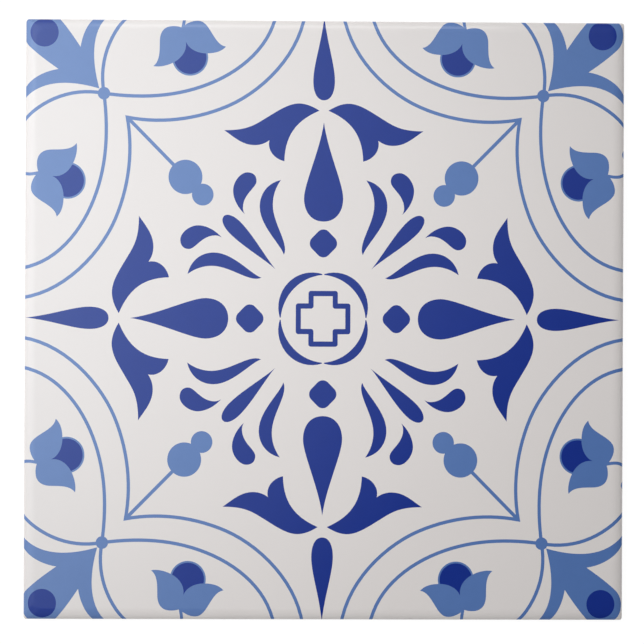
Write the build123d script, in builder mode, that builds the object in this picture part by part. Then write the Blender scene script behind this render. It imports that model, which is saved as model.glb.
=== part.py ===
"""A square glazed wall tile with a cushioned face edge and a keyed back.

The tile lies flat with its glazed face up. The origin is the centre of its back,
X and Y run along its sides and +Z is the outward direction of the glazed face.
Sizes are in millimetres and angles in degrees.
"""

import os
from math import cos, radians, sin, tan

from build123d import *

# Overall size of the tile
tile_side = 152.0
tile_thickness = 6.4

# Outline of the tile in plan
corner_radius = 0.7

# Cushion: the face falls away towards its four edges along a quarter of an ellipse
cushion_width = 3.0
cushion_drop = 1.4
cushion_steps = 10
corner_spread = 0.5  # how much rounder the corners get for each millimetre in from the edge

# Pressed wall: the mould's draft makes the back a little smaller than the face
draft_angle = 1.5
back_chamfer = 0.4

# Key on the back: shallow square pockets that the bedding mortar grips
pocket_side = 18.0
pocket_depth = 0.8
pocket_corner_radius = 1.5
pocket_wall_angle = 30.0
rib_width = 4.0
back_border = 10.0

# Sizes that follow from the ones above
wall_top = tile_thickness - cushion_drop
pocket_pitch = pocket_side + rib_width
keyed_width = tile_side - 2 * back_border
pockets_per_row = int((keyed_width + rib_width) // pocket_pitch)


def outline(inset, height, radius):
    """The tile's outline at a height, drawn in from its full size."""
    side = tile_side - 2 * inset
    with BuildSketch(Plane.XY.offset(height)) as profile:
        RectangleRounded(side, side, radius)
    return profile.sketch


def wall_inset(height):
    """How far the drafted wall lies in from the full size at a height."""
    return (wall_top - height) * tan(radians(draft_angle))


def cushion_outline(step):
    """The outline at one of the steps along the cushion's ellipse."""
    angle = radians(90 * step / cushion_steps)
    inset = cushion_width * (1 - cos(angle))
    height = wall_top + cushion_drop * sin(angle)
    return outline(inset, height, corner_radius + corner_spread * inset)


with BuildPart() as tile:
    # Chamfered back arris and drafted wall up to the start of the cushion
    back = outline(wall_inset(back_chamfer) + back_chamfer, 0, corner_radius)
    arris = outline(wall_inset(back_chamfer), back_chamfer, corner_radius)
    loft([back, arris], ruled=True)
    loft([arris, cushion_outline(0)], ruled=True)

    # Cushioned face edge, lofted through outlines along the ellipse
    loft([cushion_outline(step) for step in range(cushion_steps + 1)])

    # Pockets in the back, with sloping walls so that the tile leaves its mould
    with BuildSketch(Plane.XY):
        with GridLocations(pocket_pitch, pocket_pitch, pockets_per_row, pockets_per_row):
            RectangleRounded(pocket_side, pocket_side, pocket_corner_radius)
    extrude(amount=pocket_depth, taper=pocket_wall_angle, mode=Mode.SUBTRACT)

tile.part.label = "tile"

os.makedirs("parts", exist_ok=True)
export_step(tile.part, "parts/tile.step")
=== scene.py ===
"""Builds a square glazed wall tile with a blue ornament on white, and the stage that shows it.

The tile lies flat on the floor with its glazed face up. Lengths in the properties are in metres,
and the outlines of the ornament are in millimetres from its middle.
"""

from math import atan2, cos, exp, hypot, pi, radians, sin, sqrt, tan

import bpy
from bpy.props import FloatProperty, FloatVectorProperty, PointerProperty
from bpy.types import NodeSocket, Operator, Panel, PropertyGroup
from mathutils import Euler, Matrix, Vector
from mathutils.geometry import delaunay_2d_cdt


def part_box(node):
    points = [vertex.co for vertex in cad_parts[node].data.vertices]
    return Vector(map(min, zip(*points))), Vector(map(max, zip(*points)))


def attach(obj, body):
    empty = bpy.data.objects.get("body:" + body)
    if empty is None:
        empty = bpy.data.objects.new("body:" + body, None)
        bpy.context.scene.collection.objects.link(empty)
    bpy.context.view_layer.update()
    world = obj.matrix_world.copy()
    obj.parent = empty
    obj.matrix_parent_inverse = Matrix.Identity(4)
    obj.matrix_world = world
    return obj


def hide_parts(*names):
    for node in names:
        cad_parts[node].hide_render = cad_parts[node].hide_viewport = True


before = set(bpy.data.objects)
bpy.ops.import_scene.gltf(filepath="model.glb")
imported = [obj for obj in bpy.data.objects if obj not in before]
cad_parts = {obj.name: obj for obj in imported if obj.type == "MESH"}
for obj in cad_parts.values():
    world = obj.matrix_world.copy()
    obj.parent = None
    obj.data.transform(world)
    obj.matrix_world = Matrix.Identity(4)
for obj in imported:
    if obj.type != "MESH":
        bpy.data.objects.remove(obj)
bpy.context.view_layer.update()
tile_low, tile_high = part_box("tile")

bl_info = {
    "name": "Glazed Tile",
    "version": (1, 0, 0),
    "blender": (4, 5, 0),
    "location": "View3D > Sidebar > Tile",
    "description": "Builds a square glazed wall tile with a blue and white ornament",
    "category": "Add Mesh",
}

MM = 0.001

# Finishes of the tile, in the order of its material slots
WHITE, DARK, LIGHT, BISCUIT = range(4)

# How finely curves are cut
CURVE_STEPS = 14
CIRCLE_STEPS = 64
ARC_STEPS = 16
CORNER_STEPS = 8
SIDE_STEPS = 48
CUSHION_STEPS = 12
EASE_STEPS = 4
POCKET_STEPS = 4

# Where the inner arches and the corner arcs meet, and the width of a flower's stem, in millimetres
KNOT = (56.87, 56.87)
FLOWER_STEM = 0.8

# The pressed wall, in millimetres apart from the shares of its height
WALL_ROWS = (0.84, 0.68)  # shares at which the glazed wall has a row of points
BEAD_RISE = 0.28  # how far above its end the glaze starts to round in
BARE_STEP = 0.3  # how far below that end the first row of bare clay lies
ARRIS_WEAR = 0.1  # how far the worn arris steers clear of its sharp corner

# Waves in the end of the glaze: share of the wander, waves round the tile, and where each wave starts
GLAZE_WAVES = ((0.5, 7, 2.619), (0.3, 17, 0.235), (0.2, 41, 4.672))

# Softened lip and foot of a pocket in the back, in millimetres
POCKET_LIP = 0.3
POCKET_FOOT = 0.4

# Cutting a plane along lines: triangles inside the outer line only, and points this close become one
INSIDE_ONLY = 1
WELD = 1e-5

# Bake map, in shares of its side: a quarter for each finish of the face, and one for the back and the walls
QUARTER = 0.5
MARGIN = 0.01
FACE_SHARE = 0.48
BASE_CORNER, BASE_SHARE = (0.53, 0.11), 0.38
WALL_CORNER, WALL_SHARE, WALL_PITCH = (0.52, 0.01), 0.46, 0.024
WALLS = ("right", "left", "back", "front")
BASE = "base"


def linear(hex_colour):
    """An sRGB colour written as #RRGGBB, as linear red, green and blue."""
    channels = [int(hex_colour[i:i + 2], 16) / 255 for i in (1, 3, 5)]
    return [c / 12.92 if c <= 0.04045 else ((c + 0.055) / 1.055) ** 2.4 for c in channels]


# Kinds of size that the panel lists


def length(name, description, default):
    return FloatProperty(
        name=name,
        description=description,
        default=default,
        min=0.0,
        precision=5,
        subtype="DISTANCE",
        unit="LENGTH",
    )


def tilt(name, description, degrees):
    return FloatProperty(
        name=name, description=description, default=radians(degrees), subtype="ANGLE", unit="ROTATION"
    )


def ratio(name, description, default):
    return FloatProperty(name=name, description=description, default=default, precision=4)


def power(name, description, default):
    return FloatProperty(name=name, description=description, default=default, min=0.0, unit="POWER")


def colour(name, description, hex_colour):
    return FloatVectorProperty(
        name=name,
        description=description,
        default=linear(hex_colour),
        min=0.0,
        max=1.0,
        size=3,
        subtype="COLOR",
    )


class TileSizes(PropertyGroup):
    """Sizes of the tile's body"""

    side: length("Side", "Length of each side of the tile", tile_high.x - tile_low.x)
    thickness: length("Thickness", "From the back to the face", tile_high.z - tile_low.z)
    corner_radius: length("Corner radius", "Rounding of the four corners in plan", 0.7 * MM)
    cushion_width: length("Cushion width", "How far in from the edge the face starts to fall", 3.0 * MM)
    cushion_drop: length("Cushion drop", "How far the face falls at its edge", 1.4 * MM)
    corner_spread: ratio("Corner spread", "Added corner radius for each length in from the edge", 0.5)
    draft: tilt("Draft", "Lean of the pressed wall", 1.5)
    back_chamfer: length("Back chamfer", "Width of the worn arris round the back", 0.4 * MM)
    glaze_line: length("Glaze line", "Height on the wall at which the glaze ends", 2.3 * MM)
    glaze_wander: length("Glaze wander", "How far the end of the glaze wanders up and down", 0.35 * MM)
    glaze_coat: length("Glaze coat", "Thickness of the glaze on the wall", 0.14 * MM)
    pocket_side: length("Pocket side", "Width of a pocket in the back", 18.0 * MM)
    pocket_depth: length("Pocket depth", "Depth of a pocket in the back", 0.8 * MM)
    pocket_radius: length("Pocket radius", "Corner radius of a pocket", 1.5 * MM)
    pocket_pitch: length("Pocket pitch", "From one pocket to the next", 22.0 * MM)
    pocket_lean: tilt("Pocket lean", "Lean of a pocket's walls", 30.0)
    back_border: length("Back border", "Least width of the plain border round the pockets", 10.0 * MM)


class PrintSizes(PropertyGroup):
    """Sizes of the printed ornament and its place on the face"""

    width_scale: ratio("Width scale", "Stretch of the print across", 0.9786)
    height_scale: ratio("Height scale", "Stretch of the print up and down", 0.9983)
    shift: FloatVectorProperty(
        name="Shift",
        description="How far the print sits off the middle of the face",
        default=(-0.448 * MM, 0.337 * MM),
        size=2,
        subtype="XYZ",
        unit="LENGTH",
    )
    pull: ratio("Pull", "How much narrower and taller the middle of the print is than drawn", 0.02)
    pull_reach: length("Pull reach", "How far from the middle the pull fades", 8.0 * MM)
    line: length("Line", "Width of the drawn arches", 0.875 * MM)
    stem: length("Stem", "Width of the stem behind a pair of discs", 0.9 * MM)
    cross_line: length("Cross line", "Width of the line round the cross", 1.33 * MM)
    knot_radius: length("Knot radius", "Radius of the dots where arches meet", 1.6 * MM)
    bud_radius: length("Bud radius", "Radius of the dots in the corners", 3.65 * MM)


class TileFinish(PropertyGroup):
    """Colours and surface of the tile"""

    white: colour("White", "Colour of the white glaze", "#E5E0DE")
    dark: colour("Dark blue", "Colour of the dark cobalt print", "#18318A")
    # The light print runs from its own tone at the front right to a painted sheen at the back left, as the
    # light falls. The slant sets how much this painted sheen fades to the front, against to the right.
    light: colour("Light blue", "Colour of the light cobalt print at the front right", "#5477B4")
    sheen_tone: colour("Light blue with painted sheen", "Colour of the light cobalt print at the back left", "#6A85B9")
    sheen_slant: ratio("Sheen slant", "How much the wash thickens to the front, against to the right", 0.35)
    biscuit: colour("Biscuit", "Colour of the bare fired clay", "#DDD2C2")
    rust: colour("Rust", "Colour of the iron specks in the clay", "#8A6A4C")
    roughness: ratio("Roughness", "Roughness of the glaze", 0.1)
    ripple_width: length("Ripple width", "Width of the slow waves in the glaze", 9.0 * MM)
    ripple_height: length("Ripple height", "Height of the slow waves in the glaze", 0.012 * MM)
    mottle: length("Mottle", "Width of the clouds in the white glaze", 14.0 * MM)
    print_mottle: length("Print mottle", "Width of the clouds in the blue print", 3.5 * MM)
    polish: length("Polish", "Width of the patches of uneven polish on the glaze", 42.0 * MM)
    stain: length("Stain", "Width of the soft stains in the clay", 20.0 * MM)
    speck_pitch: length("Speck pitch", "From one iron speck in the clay to the next", 3.5 * MM)
    grit: length("Grit", "Width of the grains in the clay", 0.7 * MM)
    grit_height: length("Grit height", "Height of the grains in the clay", 0.08 * MM)


class StageSettings(PropertyGroup):
    """Camera and light"""

    lens: FloatProperty(name="Lens", description="Focal length of the camera", default=85.0, unit="CAMERA")
    key: power("Key", "Power of the soft spot lamp", 39.5)
    left: power("Left", "Power of the softbox on the left", 0.55)
    back: power("Back", "Power of the softbox behind", 0.45)
    strip: power("Strip", "Power of the strip light that the back edge mirrors", 0.2)
    fill: ratio("Fill", "Brightness of the room on matt surfaces", 0.3)
    under: power("Under", "Power of the lamp under the floor that shows the back", 3.0)


# Drawing the ornament: each outline is a list of points, and the last joins the first


def curve(*points):
    """A chain of curves: every third point lies on it, and the two between steer it."""
    drawn = []
    for i in range(0, len(points) - 1, 3):
        a, b, c, d = points[i:i + 4]
        for step in range(CURVE_STEPS):
            t = step / CURVE_STEPS
            s = 1 - t
            weights = (s ** 3, 3 * s * s * t, 3 * s * t * t, t ** 3)
            drawn.append(tuple(sum(w * p[k] for w, p in zip(weights, (a, b, c, d))) for k in (0, 1)))
    return drawn + [points[-1]]


def arc(centre, radius, start, end, steps=ARC_STEPS):
    angles = [start + (end - start) * step / steps for step in range(steps + 1)]
    return [(centre[0] + radius * cos(angle), centre[1] + radius * sin(angle)) for angle in angles]


def circle(centre, radius):
    return arc(centre, radius, 0, 2 * pi, CIRCLE_STEPS)[:-1]


def rounded(corners, radii):
    """A polygon whose corners are rounded, each by its own radius."""
    drawn = []
    for i, (corner, radius) in enumerate(zip(corners, radii)):
        if not radius:
            drawn.append(corner)
            continue
        before = corners[i - 1]
        after = corners[(i + 1) % len(corners)]
        first = atan2(before[1] - corner[1], before[0] - corner[0])
        last = atan2(after[1] - corner[1], after[0] - corner[0])
        half = ((last - first + pi) % (2 * pi) - pi) / 2
        middle = first + half
        reach = radius / abs(sin(half))
        centre = (corner[0] + reach * cos(middle), corner[1] + reach * sin(middle))
        sweep = (pi / 2 - abs(half)) * (-1 if half < 0 else 1)
        drawn += arc(centre, radius, middle + pi + sweep, middle + pi - sweep, CORNER_STEPS)
    return drawn


def band(line, width):
    """A line drawn with an even width, mitred where it bends."""
    ways = [(b[0] - a[0], b[1] - a[1]) for a, b in zip(line, line[1:])]
    normals = [(-way[1] / hypot(*way), way[0] / hypot(*way)) for way in ways]
    left, right = [], []
    for point, n1, n2 in zip(line, normals[:1] + normals, normals + normals[-1:]):
        share = width / 2 / (1 + n1[0] * n2[0] + n1[1] * n2[1])
        off = ((n1[0] + n2[0]) * share, (n1[1] + n2[1]) * share)
        left.append((point[0] + off[0], point[1] + off[1]))
        right.append((point[0] - off[0], point[1] - off[1]))
    return left + right[::-1]


def mirrored(outline):
    return [(-u, v) for u, v in reversed(outline)]


def over_diagonal(outline):
    return [(v, u) for u, v in reversed(outline)]


def turned(outline, quarters):
    for _ in range(quarters):
        outline = [(-v, u) for u, v in outline]
    return outline


def four(outline):
    """The outline at each quarter turn."""
    return [turned(outline, quarters) for quarters in range(4)]


def eight(outline):
    """The outline and its mirror image at each quarter turn."""
    return four(outline) + four(mirrored(outline))


def cross(line, grow, convex, concave):
    """One side of the line round the cross in the middle."""
    off = grow * line / 2
    wide, high = 6.46 + off, 6.37 + off
    upright, level = 3.15 + off, 3.22 + off
    quarter = [(wide, level), (upright, level), (upright, high)]
    top = quarter + mirrored(quarter)
    radii = [convex * line / 2, concave * line / 2, convex * line / 2]
    return rounded(top + turned(top, 2), radii * 4)


def crescent():
    """One of the four crescents round the cross, between a small circle and a larger one."""
    outer, outer_radius = (2.86, 2.86), 8.82
    inner, inner_radius = (-0.81, -0.81), 11.9
    tip = (0.3, 11.13)
    a = atan2(tip[1] - outer[1], tip[0] - outer[0])
    b = atan2(tip[1] - inner[1], tip[0] - inner[0])
    return arc(outer, outer_radius, a, pi / 2 - a) + arc(inner, inner_radius, pi / 2 - b, b)


def diamond():
    """The small rounded diamond between the cross and a petal."""
    middle, reach, radius = 19.05, 4.35, 1.93
    corners = [(0, middle + reach), (-reach, middle), (0, middle - reach), (reach, middle)]
    return rounded(corners, [radius] * 4)


def petal_drop():
    """The large drop that points from the middle to a side."""
    half = curve(
        (0, 24.6), (3.3, 24.6), (5.1, 27.2), (5.1, 30.5), (5.1, 34.3), (0.99, 42.6), (0, 49.85),
    )
    return half + mirrored(half)[1:-1]


def edge_drop():
    """The slim drop that runs out at the middle of a side."""
    half = curve(
        (0, 55.43), (1.8, 55.43), (2.81, 57.4), (2.81, 60.4), (2.81, 64.5), (0.6, 70.5), (0, 76.9),
    )
    return half + mirrored(half)[1:-1]


def tulip_leaf():
    """One side of the open tulip at the tip of a petal."""
    return curve(
        (1.17, 52.8), (2.8, 53.8), (4.63, 54.6), (6.46, 54.6), (9.3, 54.6), (12.15, 52.6), (14.99, 50.9),
        (18.24, 48.9), (20.07, 47.7), (25.86, 47.7), (23.42, 46.1), (21.29, 43.95), (18.04, 43.95),
        (16.31, 43.95), (15.19, 44.5), (14.18, 45.2), (14.79, 42.6), (12.75, 40.4), (10.27, 39.9),
        (10.11, 46.5), (7.27, 50.2), (1.17, 52.8),
    )[:-1]


def curved_leaf():
    """The slim bent leaf beside a petal."""
    return curve(
        (11.12, 35.13), (14.72, 34.28), (16.61, 31.53), (16.61, 28.33), (16.61, 23.43), (11.07, 18.73),
        (10.29, 16.08), (8.82, 18.93), (13.22, 24.03), (13.22, 28.83), (13.22, 31.53), (12.22, 33.63),
        (11.12, 35.13),
    )[:-1]


def comma_drop():
    """The comma beside a diagonal."""
    return curve(
        (20.4, 26.35), (22.1, 27.8), (23.49, 30.2), (23.49, 32.4), (23.49, 34.75), (21.5, 37.03),
        (19.83, 37.03), (18.35, 37.03), (17.46, 36.2), (17.46, 34.85), (17.46, 33.1), (20.91, 31.5),
        (20.93, 28.1), (20.94, 27.5), (20.8, 26.9), (20.4, 26.35),
    )[:-1]


def ray_drop():
    """The drop on a diagonal, drawn along and across it and then turned onto it."""
    half = curve(
        (17.55, 0), (21.2, 0.2), (27.7, 2.0), (32.35, 2.0), (34.95, 2.0), (36.55, 1.12), (36.55, 0),
    )
    whole = half + [(along, -across) for along, across in reversed(half)][1:-1]
    return [((along - across) / sqrt(2), (along + across) / sqrt(2)) for along, across in whole]


def outer_arch(line):
    """The line of the large frame, from one side round a corner of the frame to the next side."""
    half = curve(
        (50.83, 50.83), (42.6, 49.3), (33.5, 50.2), (25.0, 53.8), (16.2, 57.55), (6.4, 66.9), (5.0, 77.8),
    )
    half += [(4.8, 79.5)]
    return band(over_diagonal(half)[:-1] + half, line)


def inner_arch(line):
    """The line from a knot to a side."""
    drawn = curve(
        KNOT, (47.5, 55.63), (38.5, 56.0), (30.0, 59.35), (21.4, 62.7), (13.8, 69.25), (12.5, 77.8),
    )
    return band(drawn + [(12.25, 79.5)], line)


def corner_arc(line):
    """The line from a knot past the corner trident."""
    drawn = curve(KNOT, (58.27, 64.7), (55.65, 72.1), (49.65, 77.85))
    return band(drawn + [(48.1, 79.5)], line)


def trident():
    """The three-lobed leaf in a corner of the tile."""
    half = curve(
        (58.06, 58.06), (59.3, 62.4), (60.5, 69.0), (57.9, 74.0), (56.8, 76.1), (55.6, 77.3), (54.3, 78.6),
    )
    half += curve(
        (54.0, 79.2), (58.8, 78.4), (62.2, 73.8), (62.95, 68.6), (64.3, 70.6), (66.47, 73.74),
        (68.52, 75.91),
    )
    lobe, lobe_radius, lobe_start = (72.5, 72.5), 5.24, 2.434
    half += arc(lobe, lobe_radius, lobe_start, pi / 4)
    return half + over_diagonal(half)[1:-1]


def flower_petals():
    """The open petals over the dark heart of a small flower."""
    return curve(
        (25.5, 68.9), (28.8, 69.3), (29.6, 75.6), (32.8, 75.6), (34.3, 75.6), (35.6, 74.8), (36.9, 73.7),
        (37.6, 73.95), (38.2, 74.05), (39.0, 74.05), (41.2, 74.05), (42.55, 72.8), (42.55, 70.0),
        (42.55, 67.2), (42.6, 65.0), (44.2, 63.85), (41.6, 63.2), (35.2, 65.2), (35.8, 70.05),
        (34.9, 67.9), (32.4, 67.15), (30.5, 67.15), (28.4, 67.15), (26.6, 67.6), (25.5, 68.9),
    )[:-1]


def flower_stem():
    """The short stem from a small flower to the side of the tile."""
    drawn = curve(
        (36.6, 73.6), (36.3, 75.2), (36.2, 76.2), (36.5, 77.1), (36.8, 78.0), (37.2, 78.6), (37.6, 79.2),
    )
    return band(drawn, FLOWER_STEM)


def ornament(sizes):
    """Every outline of the print with its colour, from the lowest layer to the top one."""
    line = sizes.line / MM
    cross_line = sizes.cross_line / MM
    disc_stem = band([(38.0, 38.0), (50.4, 50.4)], sizes.stem / MM)
    large_disc = circle((35.77, 35.77), 4.37)
    small_disc = circle((31.3, 31.3), 2.78)
    knot = circle(KNOT, sizes.knot_radius / MM)
    bud = circle((72.25, 72.25), sizes.bud_radius / MM)
    flower = (34.71, 66.11)
    flower_rim = circle(flower, 4.65)
    flower_heart = circle(flower, 4.2)
    edge_dot = circle((42.1, 78.8), 1.25)
    layers = [
        (DARK, [cross(cross_line, 1, 1, 0)]),
        (WHITE, [cross(cross_line, -1, 0, 1)]),
        (DARK, four(crescent())),
        (DARK, four(diamond())),
        (DARK, four(petal_drop())),
        (DARK, four(edge_drop())),
        (DARK, eight(tulip_leaf())),
        (DARK, eight(curved_leaf())),
        (DARK, eight(comma_drop())),
        (DARK, four(ray_drop())),
        (LIGHT, four(disc_stem)),
        (LIGHT, four(large_disc)),
        (LIGHT, four(small_disc)),
        (LIGHT, four(outer_arch(line))),
        (LIGHT, eight(inner_arch(line))),
        (LIGHT, eight(corner_arc(line))),
        (LIGHT, four(knot)),
        (LIGHT, four(trident())),
        (DARK, four(bud)),
        (LIGHT, eight(flower_rim)),
        (DARK, eight(flower_heart)),
        (LIGHT, eight(flower_stem())),
        (LIGHT, eight(flower_petals())),
        (LIGHT, eight(edge_dot)),
    ]
    return [(finish, outline) for finish, outlines in layers for outline in outlines]


def on_face(outline, sizes):
    """An outline of the print in its place on the tile, running anticlockwise.

    The print was pulled a little as it went on, so that its middle is narrower and taller than drawn.
    """

    def pulled(distance):
        far = abs(distance) * MM / sizes.pull_reach
        return sizes.pull * far * exp(-far)

    placed = []
    for u, v in outline:
        x = u * sizes.width_scale * (1 - pulled(u))
        y = v * sizes.height_scale * (1 + pulled(v))
        placed.append((sizes.shift[0] / MM + x, sizes.shift[1] / MM + y))
    area = sum(a[0] * b[1] - b[0] * a[1] for a, b in zip(placed, placed[1:] + placed[:1]))
    return placed if area > 0 else placed[::-1]


# Building the tile, in millimetres


class Body:
    """Points and faces of the tile, with each face's finish and its place on the bake map."""

    def __init__(self):
        self.points = []
        self.normals = []
        self.faces = []
        self.finishes = []
        self.places = []

    def point(self, x, y, z, normal=None):
        self.points.append(Vector((x, y, z)))
        self.normals.append(normal)
        return len(self.points) - 1

    def face(self, corners, finish, place):
        self.faces.append(corners)
        self.finishes.append(finish)
        self.places.append(place)

    def strip(self, first, second, finish, places):
        """Joins two closed rows of points. The faces look outward where the second row is the lower one."""
        for i in range(len(first)):
            j = (i + 1) % len(first)
            self.face((first[i], second[i], second[j], first[j]), finish, places[i])


def rounded_square(half, radius, side_steps):
    """Points anticlockwise round a square with rounded corners."""
    reach = half - radius
    quarter = arc((reach, reach), radius, 0, pi / 2, CORNER_STEPS)
    quarter += [(reach - 2 * reach * step / side_steps, half) for step in range(1, side_steps)]
    return [p for quarters in range(4) for p in turned(quarter, quarters)]


def eased(start, corner, end):
    """Points along a corner that is rounded from a start to an end."""
    drawn = []
    for step in range(EASE_STEPS + 1):
        t = step / EASE_STEPS
        weights = ((1 - t) ** 2, 2 * t * (1 - t), t * t)
        drawn.append(tuple(sum(w * p[k] for w, p in zip(weights, (start, corner, end))) for k in (0, 1)))
    return drawn


class Cushion:
    """Height and normal of the face anywhere, from the quarter ellipse along which it falls to its edge."""

    def __init__(self, sizes):
        self.half = sizes.side / MM / 2
        self.radius = sizes.corner_radius / MM
        self.spread = sizes.corner_spread
        self.width = sizes.cushion_width / MM
        self.drop = sizes.cushion_drop / MM
        self.foot = sizes.thickness / MM - self.drop

    def ring(self, inset):
        """The outline that lies a distance in from the edge."""
        return rounded_square(self.half - inset, self.radius + self.spread * inset, SIDE_STEPS)

    def inset(self, x, y):
        """How far in from the edge a point lies, which way is out, and how steeply that distance grows."""
        a, b = abs(x), abs(y)
        side_x, side_y = (1 if x >= 0 else -1), (1 if y >= 0 else -1)
        inset = max(self.half - max(a, b), 0.0)
        corner = self.half - inset - (self.radius + self.spread * inset)
        if min(a, b) <= corner:
            return inset, (Vector((side_x, 0)) if a > b else Vector((0, side_y))), 1.0
        # The outlines turn a corner as arcs whose radius grows inwards, so the distance solves a quadratic
        p, q = a - (self.half - self.radius), b - (self.half - self.radius)
        k = 1 + self.spread
        first = 2 * k * k - self.spread ** 2
        second = 2 * k * (p + q) - 2 * self.radius * self.spread
        third = p * p + q * q - self.radius ** 2
        inset = max((-second + sqrt(max(second * second - 4 * first * third, 0.0))) / (2 * first), 0.0)
        out = Vector((max(p + k * inset, 0.0), max(q + k * inset, 0.0))).normalized()
        return inset, Vector((out.x * side_x, out.y * side_y)), 1 / (k * (out.x + out.y) - self.spread)

    def surface(self, x, y):
        """Height and normal of the face at a point."""
        inset, out, rate = self.inset(x, y)
        if inset >= self.width:
            return self.foot + self.drop, Vector((0, 0, 1))
        across = 1 - inset / self.width
        up = sqrt(1 - across * across)
        lean = out * (self.drop * across * rate)
        return self.foot + self.drop * up, Vector((lean.x, lean.y, self.width * up)).normalized()


def cut_plane(loops, lines):
    """Cuts a plane along closed loops and closed lines.

    Gives the points, the triangles, the loops round each triangle, and which given point each point was.
    """
    points, edges, faces = [], [], []
    for loop in loops + lines:
        start = len(points)
        points += [Vector(p) for p in loop]
        ids = list(range(start, start + len(loop)))
        if len(faces) < len(loops):
            faces.append(ids)
        else:
            edges += list(zip(ids, ids[1:] + ids[:1]))
    made, _, triangles, sources, _, owners = delaunay_2d_cdt(points, edges, faces, INSIDE_ONLY, WELD)
    return made, triangles, owners, [ids[0] if ids else None for ids in sources]


def glazed_face(body, cushion, prints):
    """Adds the face, cut along the ornament and along the rings of its cushioned edge.

    Each finish has points of its own along the outlines, so that baking keeps one colour out of the next.
    Returns a row of points round the edge, anticlockwise, for the wall to start from.
    """
    turns = [pi / 2 * step / CUSHION_STEPS for step in range(CUSHION_STEPS + 1)]
    rings = [cushion.ring(cushion.width * (1 - cos(turn))) for turn in turns]
    drawn = ornament(prints)
    loops = [rings[0]] + [on_face(outline, prints) for _, outline in drawn]
    made, triangles, owners, sources = cut_plane(loops, rings[1:])
    ids, kept = {}, []
    for triangle, inside in zip(triangles, owners):
        if 0 not in inside:
            continue
        top = max(inside)
        finish = drawn[top - 1][0] if top else WHITE
        for i in triangle:
            if (i, finish) not in ids:
                ids[i, finish] = body.point(*made[i], *cushion.surface(*made[i]))
        body.face(tuple(ids[i, finish] for i in triangle), finish, finish)
        kept.append(triangle)
    edge = edge_row(kept, sources.index(0))
    return [body.point(*made[i], *cushion.surface(*made[i])) for i in edge]


def edge_row(triangles, start):
    """The open edge of some triangles as one row of points, anticlockwise seen from above."""
    edges = {(a, b) for corners in triangles for a, b in zip(corners, corners[1:] + corners[:1])}
    following = {a: b for a, b in edges if (b, a) not in edges}
    row = [start]
    while following[row[-1]] != start:
        row.append(following[row[-1]])
    if len(row) != len(following):
        raise RuntimeError("The face's edge isn't one closed row")
    return row


def pressed_wall(body, cushion, sizes, row):
    """Adds the wall below the face's edge: glaze down to a wandering line, and bare clay under it.

    Returns the row of points round the back.
    """
    core = cushion.half - cushion.radius
    chamfer = sizes.back_chamfer / MM
    coat = sizes.glaze_coat / MM
    lean = tan(sizes.draft)
    places, walked, travel = [], [], 0.0
    for i, index in enumerate(row):
        here = body.points[index]
        there = body.points[row[(i + 1) % len(row)]]
        places.append(wall_of((here + there) / 2))
        walked.append(travel)
        travel += (there - here).length

    def drawn_in(index, inset):
        """A point of the edge on the outline that lies a distance in from it."""
        moved = []
        for value in body.points[index].xy:
            kept = min(max(value, -core), core)
            moved.append(kept * (core - inset) / core + value - kept)
        return moved

    def wall_profile(distance):
        """The glazed and the bare part of the wall at a distance round the tile, as insets and heights."""
        turn = 2 * pi * distance / travel
        wander = sum(share * sin(waves * turn + start) for share, waves, start in GLAZE_WAVES)
        end = (sizes.glaze_line + sizes.glaze_wander * wander) / MM
        inset = (cushion.foot - end) * lean
        upper, lower = end + BEAD_RISE, end - BARE_STEP
        heights = [cushion.foot * share for share in WALL_ROWS] + [upper]
        glaze = [((cushion.foot - z) * lean, z) for z in heights]
        bead = eased(glaze[-1], (inset, end), (inset + coat, end))
        clay = [((cushion.foot - z) * lean + coat, z) for z in (lower, (lower + chamfer) / 2)]
        heel = (cushion.foot - chamfer) * lean + coat
        arris = eased((heel, chamfer), (heel + ARRIS_WEAR, ARRIS_WEAR), (heel + chamfer, 0.0))
        return glaze + bead[1:], clay + arris

    profiles = [wall_profile(distance) for distance in walked]
    straight_rows = len(WALL_ROWS) + 1
    upper_row = row
    for part, finish in ((0, WHITE), (1, BISCUIT)):
        for step in range(len(profiles[0][part])):
            lower_row = []
            for index, profile in zip(row, profiles):
                inset, height = profile[part][step]
                x, y = drawn_in(index, inset)
                normal = None
                if finish == WHITE and step < straight_rows:
                    out = body.normals[index]
                    normal = Vector((out.x, out.y, -lean)).normalized()
                lower_row.append(body.point(x, y, height, normal))
            body.strip(upper_row, lower_row, finish, places)
            upper_row = lower_row
    return upper_row


def wall_of(point):
    """Which of the four walls a point belongs to."""
    if abs(point.x) > abs(point.y):
        return "right" if point.x > 0 else "left"
    return "back" if point.y > 0 else "front"


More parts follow.
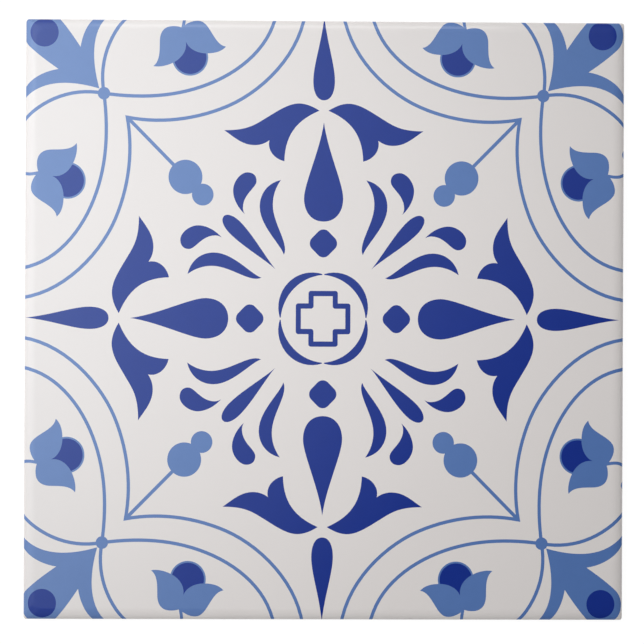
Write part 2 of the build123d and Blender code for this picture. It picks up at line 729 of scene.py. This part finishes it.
def keyed_back(body, sizes, row):
    """Adds the flat back inside a row of points, with its square pockets."""
    pitch = sizes.pocket_pitch / MM
    half = sizes.pocket_side / MM / 2
    radius = sizes.pocket_radius / MM
    depth = sizes.pocket_depth / MM
    slope = tan(sizes.pocket_lean)
    keyed_width = (sizes.side - 2 * sizes.back_border) / MM
    count = int((keyed_width + pitch - 2 * half) // pitch)
    lip = eased((POCKET_LIP, 0.0), (0.0, 0.0), (-POCKET_LIP * slope, POCKET_LIP))
    low, inset = depth - POCKET_LIP, -depth * slope
    foot = eased((-low * slope, low), (inset, depth), (inset - POCKET_FOOT, depth))
    profile = lip + foot
    middles = [(i - (count - 1) / 2) * pitch for i in range(count)]
    pockets = []
    for cx in middles:
        for cy in middles:
            rows = []
            for grow, height in profile:
                loop = rounded_square(half + grow, radius + grow, POCKET_STEPS)
                rows.append([body.point(cx + x, cy + y, height) for x, y in loop])
            for outer, inner in zip(rows, rows[1:]):
                body.strip(outer, inner, BISCUIT, [BASE] * len(outer))
            body.face(tuple(reversed(rows[-1])), BISCUIT, BASE)
            pockets.append(rows[0])
    loops = [row] + pockets
    flat = [index for loop in loops for index in loop]
    _, triangles, owners, sources = cut_plane([[body.points[i].xy for i in loop] for loop in loops], [])
    for triangle, inside in zip(triangles, owners):
        if inside == [0]:
            body.face(tuple(flat[sources[i]] for i in reversed(triangle)), BISCUIT, BASE)


def bake_spot(place, point, side):
    """Where a point of a face lies on the bake map.

    Each finish of the face has a quarter of the map, and the back and the four walls share the last one.
    """
    across, up = point.x / side + 0.5, point.y / side + 0.5
    if place in (WHITE, DARK, LIGHT):
        left = MARGIN + QUARTER * (place % 2)
        low = MARGIN + QUARTER * (1 - place // 2)
        return left + FACE_SHARE * across, low + FACE_SHARE * up
    if place == BASE:
        return BASE_CORNER[0] + BASE_SHARE * across, BASE_CORNER[1] + BASE_SHARE * up
    along = up if place in ("right", "left") else across
    low = WALL_CORNER[1] + WALL_PITCH * WALLS.index(place)
    return WALL_CORNER[0] + WALL_SHARE * along, low + WALL_SHARE * point.z / side


def mesh_of(body, name, side):
    """A mesh in metres with the body's finishes, shading normals and bake map."""
    mesh = bpy.data.meshes.new(name)
    mesh.from_pydata([p * MM for p in body.points], [], body.faces)
    mesh.polygons.foreach_set("material_index", body.finishes)
    mesh.polygons.foreach_set("use_smooth", [True] * len(body.faces))
    weighted = [Vector() for _ in body.points]
    for polygon in mesh.polygons:
        for index in polygon.vertices:
            weighted[index] += polygon.normal * polygon.area
    normals = [given or summed.normalized() for given, summed in zip(body.normals, weighted)]
    layer = mesh.uv_layers.new(name="OFBake")
    for polygon, place in zip(mesh.polygons, body.places):
        for loop, index in zip(polygon.loop_indices, polygon.vertices):
            layer.uv[loop].vector = bake_spot(place, body.points[index], side)
    mesh.update()
    if mesh.validate():
        raise RuntimeError("The tile's mesh had faults")
    mesh.normals_split_custom_set_from_vertices(normals)
    return mesh


# Finishes

# Sockets of a Mix node that share their names: its number pair, its colour pair and their results
NUMBER_A, NUMBER_B, COLOUR_A, COLOUR_B = 2, 3, 6, 7
MIXED_NUMBER, MIXED_COLOUR = 0, 2

# Most of a noise pattern lies between these values
NOISE_LOW, NOISE_HIGH = 0.3, 0.7

# Glaze: refraction, and the share by which its polish is uneven
GLAZE_IOR = 1.55
POLISH_SPREAD = 0.3

# Biscuit: refraction, darkest and palest tone, range of roughness, and the reach and strength of its specks
CLAY_IOR = 1.5
CLAY_TONES = (0.86, 1.12)
CLAY_ROUGHNESS = (0.78, 0.95)
SPECK_CORE, SPECK_RIM, SPECK_STRENGTH = 0.05, 0.1, 0.55


def add_node(tree, kind, inputs=None, **settings):
    """Adds a node, sets it up, and links or sets its inputs."""
    node = tree.nodes.new(kind)
    for name, value in settings.items():
        setattr(node, name, value)
    for socket, value in (inputs or {}).items():
        if isinstance(value, NodeSocket):
            tree.links.new(value, node.inputs[socket])
        else:
            node.inputs[socket].default_value = value
    return node


def new_material(name):
    material = bpy.data.materials.new(name)
    material.use_nodes = True
    material.node_tree.nodes.clear()
    return material, material.node_tree


def opaque(tone):
    """A colour with full alpha."""
    return [*tone, 1.0]


def shade(tone, level):
    """A tone made lighter or darker, with full alpha."""
    return opaque([min(c * level, 1.0) for c in tone])


def fired_glaze(name, tone, finish, cloud, spread, painted_sheen=None):
    """Glossy fired glaze over a colour.

    The eye sees clouds of slightly uneven tone under a mirror-like skin with slow waves and uneven polish.
    A painted sheen is the tone at the back left corner and the tile's side: the colour is painted paler to
    the back left and deeper to the front right, as the light falls there.
    """
    material, tree = new_material(name)
    place = add_node(tree, "ShaderNodeTexCoord").outputs["Object"]
    clouds = add_node(
        tree,
        "ShaderNodeTexNoise",
        {"Vector": place, "Scale": 1 / cloud, "Detail": 4.0, "Roughness": 0.6},
    )
    darkest, palest = shade(tone, 1 - spread), shade(tone, 1 + spread)
    # Painted sheen: the tone is mixed from a paler one at the back left to its own at the front right, as
    # the light falls.
    if painted_sheen:
        sheen_tone, side = painted_sheen
        slant = finish.sheen_slant
        reach = (1 + slant) * side / 2
        axes = add_node(tree, "ShaderNodeSeparateXYZ", {"Vector": place}).outputs
        along = add_node(
            tree,
            "ShaderNodeMath",
            {0: axes["Y"], 1: -slant, 2: axes["X"]},
            operation="MULTIPLY_ADD",
        )
        sheen_share = add_node(
            tree,
            "ShaderNodeMapRange",
            {"Value": along.outputs[0], "From Min": -reach, "From Max": reach},
        )
        darkest, palest = [
            add_node(
                tree,
                "ShaderNodeMix",
                {"Factor": sheen_share.outputs[0], COLOUR_A: shade(sheen_tone, level), COLOUR_B: shade(tone, level)},
                data_type="RGBA",
            ).outputs[MIXED_COLOUR]
            for level in (1 - spread, 1 + spread)
        ]
    tones = add_node(
        tree,
        "ShaderNodeMix",
        {"Factor": clouds.outputs["Fac"], COLOUR_A: darkest, COLOUR_B: palest},
        data_type="RGBA",
    )
    polish = add_node(
        tree,
        "ShaderNodeTexNoise",
        {"Vector": place, "Scale": 1 / finish.polish, "Detail": 2.0},
    )
    rough = add_node(
        tree,
        "ShaderNodeMapRange",
        {
            "Value": polish.outputs["Fac"],
            "From Min": NOISE_LOW,
            "From Max": NOISE_HIGH,
            "To Min": (1 - POLISH_SPREAD) * finish.roughness,
            "To Max": (1 + POLISH_SPREAD) * finish.roughness,
        },
    )
    waves = add_node(
        tree,
        "ShaderNodeTexNoise",
        {"Vector": place, "Scale": 1 / finish.ripple_width, "Detail": 1.0},
    )
    skin = add_node(
        tree,
        "ShaderNodeBump",
        {"Strength": 1.0, "Distance": finish.ripple_height, "Height": waves.outputs["Fac"]},
    )
    shader = add_node(
        tree,
        "ShaderNodeBsdfPrincipled",
        {
            "Base Color": tones.outputs[MIXED_COLOUR],
            "Roughness": rough.outputs[0],
            "IOR": GLAZE_IOR,
            "Normal": skin.outputs["Normal"],
        },
    )
    add_node(tree, "ShaderNodeOutputMaterial", {"Surface": shader.outputs["BSDF"]})
    return material


def pressed_biscuit(finish):
    """Bare fired clay, pressed from damp powder.

    The eye sees a chalky, dry surface with fine grit, soft stains and a few iron specks.
    """
    material, tree = new_material("pressed_biscuit_clay")
    place = add_node(tree, "ShaderNodeTexCoord").outputs["Object"]
    stain = add_node(
        tree,
        "ShaderNodeTexNoise",
        {"Vector": place, "Scale": 1 / finish.stain, "Detail": 5.0, "Roughness": 0.6},
    )
    darkest, palest = [shade(finish.biscuit, level) for level in CLAY_TONES]
    clay = add_node(
        tree,
        "ShaderNodeMix",
        {"Factor": stain.outputs["Fac"], COLOUR_A: darkest, COLOUR_B: palest},
        data_type="RGBA",
    )
    iron = add_node(
        tree,
        "ShaderNodeTexVoronoi",
        {"Vector": place, "Scale": 1 / finish.speck_pitch, "Randomness": 1.0},
    )
    speck = add_node(
        tree,
        "ShaderNodeMapRange",
        {
            "Value": iron.outputs["Distance"],
            "From Min": SPECK_CORE,
            "From Max": SPECK_RIM,
            "To Min": SPECK_STRENGTH,
            "To Max": 0.0,
        },
    )
    tones = add_node(
        tree,
        "ShaderNodeMix",
        {
            "Factor": speck.outputs[0],
            COLOUR_A: clay.outputs[MIXED_COLOUR],
            COLOUR_B: opaque(finish.rust),
        },
        data_type="RGBA",
    )
    grit = add_node(
        tree,
        "ShaderNodeTexNoise",
        {"Vector": place, "Scale": 1 / finish.grit, "Detail": 3.0, "Roughness": 0.7},
    )
    rough = add_node(
        tree,
        "ShaderNodeMapRange",
        {
            "Value": grit.outputs["Fac"],
            "From Min": NOISE_LOW,
            "From Max": NOISE_HIGH,
            "To Min": CLAY_ROUGHNESS[0],
            "To Max": CLAY_ROUGHNESS[1],
        },
    )
    grain = add_node(
        tree,
        "ShaderNodeBump",
        {"Strength": 1.0, "Distance": finish.grit_height, "Height": grit.outputs["Fac"]},
    )
    shader = add_node(
        tree,
        "ShaderNodeBsdfPrincipled",
        {
            "Base Color": tones.outputs[MIXED_COLOUR],
            "Roughness": rough.outputs[0],
            "IOR": CLAY_IOR,
            "Normal": grain.outputs["Normal"],
        },
    )
    add_node(tree, "ShaderNodeOutputMaterial", {"Surface": shader.outputs["BSDF"]})
    return material


class MESH_OT_glazed_tile(Operator):
    """Builds the glazed tile with its ornament, pressed wall and keyed back"""

    bl_idname = "mesh.glazed_tile"
    bl_label = "Glazed Tile"

    def execute(self, context):
        sizes = context.scene.tile_sizes
        finish = context.scene.tile_finish
        cushion = Cushion(sizes)
        body = Body()
        edge = glazed_face(body, cushion, context.scene.tile_print)
        back = pressed_wall(body, cushion, sizes, edge)
        keyed_back(body, sizes, back)
        tile = bpy.data.objects.new("glazed_tile", mesh_of(body, "glazed_tile", sizes.side / MM))
        context.scene.collection.objects.link(tile)
        # Tin-white glaze is opaque and almost even. Cobalt printed under the glaze looks cloudier, as its
        # coat is uneven: the dark print is deep and dense, and the light one carries a painted sheen, paler
        # to the back left where the light falls stronger.
        wash = (finish.sheen_tone, sizes.side)
        for name, tone, cloud, spread, painted_sheen in (
            ("tin_white_glaze_fired", finish.white, finish.mottle, 0.012, None),
            ("dark_cobalt_print_glazed", finish.dark, finish.print_mottle, 0.05, None),
            ("light_cobalt_print_glazed_painted_sheen", finish.light, finish.print_mottle, 0.04, wash),
        ):
            tile.data.materials.append(fired_glaze(name, tone, finish, cloud, spread, painted_sheen))
        tile.data.materials.append(pressed_biscuit(finish))
        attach(tile, "root")
        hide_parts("tile")
        return {"FINISHED"}


# Stage

# Paper floor: its brightness as a lamp lights it, what of a shadow shows on it, its own glow, and its size
PAPER_WHITE = 0.8
PAPER_SHADOW = 0.12
PAPER_GLOW = 0.95
FLOOR_REACH = 3.0
FLOOR_LAP = 1.2 * MM
FLOOR_GAP = 0.05 * MM

# The ceiling that the glaze mirrors, by the way it is seen from the tile: X to the right, Y back and Z up
CEILING_LEFT, CEILING_RIGHT = -0.22, 0.3625  # its glow fades away between these
CEILING_ROOT = 1.698  # square root of its glow at the left
CEILING_DEPTH = 0.25  # how far to the front and to the back it changes
CEILING_BASE = -0.181  # what is added to its glow everywhere
CEILING_RISE, CEILING_BEND = 2.89, -4.91  # how it grows to the back, and how that growth falls off
CEILING_CORNER = -15.0  # how much darker it is at the front left
CEILING_LEAST = 0.04
CEILING_TINT = "#DDF0FB"
HORIZON, OVERHEAD = 0.3, 0.85  # between these heights the room grows brighter
HORIZON_LEVEL = 0.45

# Lamps and camera, in metres and degrees. The camera looks straight down, a touch off square.
TILE_MIDDLE = (0.0, 0.0, 0.0)
SPOT_PLACE, SPOT_AIM = (-0.525, 0.291, 1.039), (-0.06, 0.028, 0.0)
SPOT_CONE, SPOT_RADIUS = 25.0, 0.15
UNDER_PLACE, UNDER_SIZE = (-0.3, -0.3, -0.8), 0.8
CAMERA_PLACE, CAMERA_TURN = (-0.00593, -0.0012, 0.39137), (0.106, -0.776, 0.255)
SENSOR_WIDTH = 36.0


def grey(level):
    """A neutral grey with full alpha."""
    return opaque([level] * 3)


def white_floor():
    """Matt white paper, which shows white with a faint shadow to the eye and in glossy things.

    Seen from below it is clear, so that the tile's back shows.
    """
    material, tree = new_material("white_paper_floor")
    ray = add_node(tree, "ShaderNodeLightPath").outputs
    mirror = add_node(
        tree,
        "ShaderNodeMath",
        {0: ray["Is Glossy Ray"], 1: ray["Is Transmission Ray"]},
        operation="MAXIMUM",
    )
    seen = add_node(
        tree,
        "ShaderNodeMath",
        {0: ray["Is Camera Ray"], 1: mirror.outputs[0]},
        operation="MAXIMUM",
    )
    paper = add_node(tree, "ShaderNodeBsdfDiffuse", {"Color": grey(PAPER_WHITE)})
    faint = add_node(tree, "ShaderNodeBsdfDiffuse", {"Color": grey(PAPER_SHADOW)})
    glow = add_node(tree, "ShaderNodeEmission", {"Color": grey(1.0), "Strength": PAPER_GLOW})
    shown = add_node(tree, "ShaderNodeAddShader", {0: faint.outputs[0], 1: glow.outputs[0]})
    top = add_node(
        tree,
        "ShaderNodeMixShader",
        {0: seen.outputs[0], 1: paper.outputs[0], 2: shown.outputs[0]},
    )
    below = add_node(tree, "ShaderNodeBsdfTransparent")
    facing = add_node(tree, "ShaderNodeNewGeometry").outputs["Backfacing"]
    both = add_node(tree, "ShaderNodeMixShader", {0: facing, 1: top.outputs[0], 2: below.outputs[0]})
    add_node(tree, "ShaderNodeOutputMaterial", {"Surface": both.outputs[0]})
    return material


def floor_mesh(opening):
    """A wide floor with an opening under the tile, so that the tile's back can be seen from below."""
    mesh = bpy.data.meshes.new("floor")
    corners = [
        (x * reach, y * reach, 0.0)
        for reach in (FLOOR_REACH, opening)
        for x, y in ((1, 1), (-1, 1), (-1, -1), (1, -1))
    ]
    mesh.from_pydata(corners, [], [(i, (i + 1) % 4, 4 + (i + 1) % 4, 4 + i) for i in range(4)])
    mesh.update()
    return mesh


def studio_room(fill):
    """A room that is white to the eye, with even light on matt things and a ceiling that the glaze mirrors.

    The ceiling glows at the left and at the back. It fades to the right and to the front, and its front
    left corner is darker still.
    """
    world = bpy.data.worlds.new("studio_room")
    world.use_nodes = True
    tree = world.node_tree
    tree.nodes.clear()
    ray = add_node(tree, "ShaderNodeLightPath").outputs
    way = add_node(tree, "ShaderNodeTexCoord").outputs["Generated"]
    axes = add_node(tree, "ShaderNodeSeparateXYZ", {"Vector": way}).outputs
    across = add_node(
        tree,
        "ShaderNodeMapRange",
        {
            "Value": axes["X"],
            "From Min": CEILING_LEFT,
            "From Max": CEILING_RIGHT,
            "To Min": CEILING_ROOT,
            "To Max": 0.0,
        },
    ).outputs[0]
    depth = add_node(
        tree,
        "ShaderNodeClamp",
        {"Value": axes["Y"], "Min": -CEILING_DEPTH, "Max": CEILING_DEPTH},
    ).outputs[0]
    gain = add_node(
        tree,
        "ShaderNodeMath",
        {0: depth, 1: CEILING_BEND, 2: CEILING_RISE},
        operation="MULTIPLY_ADD",
    ).outputs[0]
    rise = add_node(
        tree,
        "ShaderNodeMath",
        {0: depth, 1: gain, 2: CEILING_BASE},
        operation="MULTIPLY_ADD",
    ).outputs[0]
    slope = add_node(
        tree,
        "ShaderNodeMath",
        {0: across, 1: across, 2: rise},
        operation="MULTIPLY_ADD",
    ).outputs[0]
    leftward, forward = [
        add_node(
            tree,
            "ShaderNodeClamp",
            {"Value": axes[axis], "Min": -CEILING_DEPTH, "Max": 0.0},
        ).outputs[0]
        for axis in ("X", "Y")
    ]
    corner = add_node(tree, "ShaderNodeMath", {0: leftward, 1: forward}, operation="MULTIPLY").outputs[0]
    shape = add_node(
        tree,
        "ShaderNodeMath",
        {0: corner, 1: CEILING_CORNER, 2: slope},
        operation="MULTIPLY_ADD",
    ).outputs[0]
    ceiling = add_node(tree, "ShaderNodeMath", {0: shape, 1: CEILING_LEAST}, operation="MAXIMUM").outputs[0]
    height = add_node(
        tree,
        "ShaderNodeMapRange",
        {
            "Value": axes["Z"],
            "From Min": HORIZON,
            "From Max": OVERHEAD,
            "To Min": HORIZON_LEVEL,
            "To Max": 1.0,
        },
    ).outputs[0]
    overhead = add_node(tree, "ShaderNodeMath", {0: height, 1: ceiling}, operation="MULTIPLY").outputs[0]
    soft = add_node(
        tree,
        "ShaderNodeMix",
        {"Factor": ray["Is Glossy Ray"], NUMBER_A: fill, NUMBER_B: overhead},
        data_type="FLOAT",
    ).outputs[MIXED_NUMBER]
    open_view = add_node(
        tree,
        "ShaderNodeMath",
        {0: ray["Is Camera Ray"], 1: ray["Is Transmission Ray"]},
        operation="MAXIMUM",
    ).outputs[0]
    level = add_node(
        tree,
        "ShaderNodeMix",
        {"Factor": open_view, NUMBER_A: soft, NUMBER_B: 1.0},
        data_type="FLOAT",
    ).outputs[MIXED_NUMBER]
    tint = add_node(
        tree,
        "ShaderNodeMix",
        {"Factor": ray["Is Glossy Ray"], COLOUR_A: grey(1.0), COLOUR_B: opaque(linear(CEILING_TINT))},
        data_type="RGBA",
    ).outputs[MIXED_COLOUR]
    glow = add_node(tree, "ShaderNodeBackground", {"Color": tint, "Strength": level})
    add_node(tree, "ShaderNodeOutputWorld", {"Surface": glow.outputs[0]})
    return world


def add_lamp(context, lamp, place, target):
    """Links a lamp and points it at a target."""
    holder = bpy.data.objects.new(lamp.name, lamp)
    holder.location = place
    holder.rotation_euler = (Vector(target) - Vector(place)).to_track_quat("-Z", "Y").to_euler()
    context.scene.collection.objects.link(holder)
    return holder


class SCENE_OT_tile_stage(Operator):
    """Builds the floor, the light and the camera that look straight down on the tile"""

    bl_idname = "scene.tile_stage"
    bl_label = "Tile Stage"

    def execute(self, context):
        scene = context.scene
        stage = scene.tile_stage
        scene.view_settings.view_transform = "Standard"
        scene.world = studio_room(stage.fill)

        floor = bpy.data.objects.new("floor", floor_mesh(scene.tile_sizes.side / 2 - FLOOR_LAP))
        floor.location.z = -FLOOR_GAP
        floor.data.materials.append(white_floor())
        scene.collection.objects.link(floor)

        key = bpy.data.lights.new("soft_spot", "SPOT")
        key.energy = stage.key
        key.spot_size = radians(SPOT_CONE)
        key.spot_blend = 1.0
        key.shadow_soft_size = SPOT_RADIUS
        spot = add_lamp(context, key, SPOT_PLACE, SPOT_AIM)
        spot.visible_glossy = False

        # The glaze mirrors only the strip light, along the tile's back edge
        for name, watts, place, width, height, mirrored_in_glaze in (
            ("left_softbox", stage.left, (-0.55, 0.05, 0.36), 0.5, 0.4, False),
            ("back_softbox", stage.back, (-0.05, 0.53, 0.47), 0.4, 0.3, False),
            ("strip_light", stage.strip, (-0.01, 0.48, 0.52), 0.28, 0.18, True),
        ):
            box = bpy.data.lights.new(name, "AREA")
            box.energy = watts
            box.shape = "RECTANGLE"
            box.size = width
            box.size_y = height
            softbox = add_lamp(context, box, place, TILE_MIDDLE)
            softbox.visible_glossy = mirrored_in_glaze

        under = bpy.data.lights.new("under_light", "AREA")
        under.energy = stage.under
        under.size = UNDER_SIZE
        add_lamp(context, under, UNDER_PLACE, TILE_MIDDLE)

        camera = bpy.data.cameras.new("camera")
        camera.lens = stage.lens
        camera.sensor_width = SENSOR_WIDTH
        viewer = bpy.data.objects.new("camera", camera)
        viewer.location = CAMERA_PLACE
        viewer.rotation_euler = Euler([radians(degrees) for degrees in CAMERA_TURN], "XYZ")
        scene.collection.objects.link(viewer)
        scene.camera = viewer
        return {"FINISHED"}


class VIEW3D_PT_glazed_tile(Panel):
    """Lists the tile's sizes, print, finish and stage"""

    bl_label = "Glazed Tile"
    bl_space_type = "VIEW_3D"
    bl_region_type = "UI"
    bl_category = "Tile"

    def draw(self, context):
        for title, group, operator in (
            ("Body", context.scene.tile_sizes, None),
            ("Print", context.scene.tile_print, None),
            ("Finish", context.scene.tile_finish, MESH_OT_glazed_tile.bl_idname),
            ("Stage", context.scene.tile_stage, SCENE_OT_tile_stage.bl_idname),
        ):
            box = self.layout.box()
            box.label(text=title)
            for name in group.__annotations__:
                box.prop(group, name)
            if operator:
                box.operator(operator)


GROUPS = {
    "tile_sizes": TileSizes,
    "tile_print": PrintSizes,
    "tile_finish": TileFinish,
    "tile_stage": StageSettings,
}
CLASSES = (*GROUPS.values(), MESH_OT_glazed_tile, SCENE_OT_tile_stage, VIEW3D_PT_glazed_tile)


def register():
    for item in CLASSES:
        bpy.utils.register_class(item)
    for name, group in GROUPS.items():
        setattr(bpy.types.Scene, name, PointerProperty(type=group))


def unregister():
    for name in GROUPS:
        delattr(bpy.types.Scene, name)
    for item in reversed(CLASSES):
        bpy.utils.unregister_class(item)


def main():
    register()
    bpy.ops.mesh.glazed_tile()
    bpy.ops.scene.tile_stage()


if __name__ == "__main__":
    main()
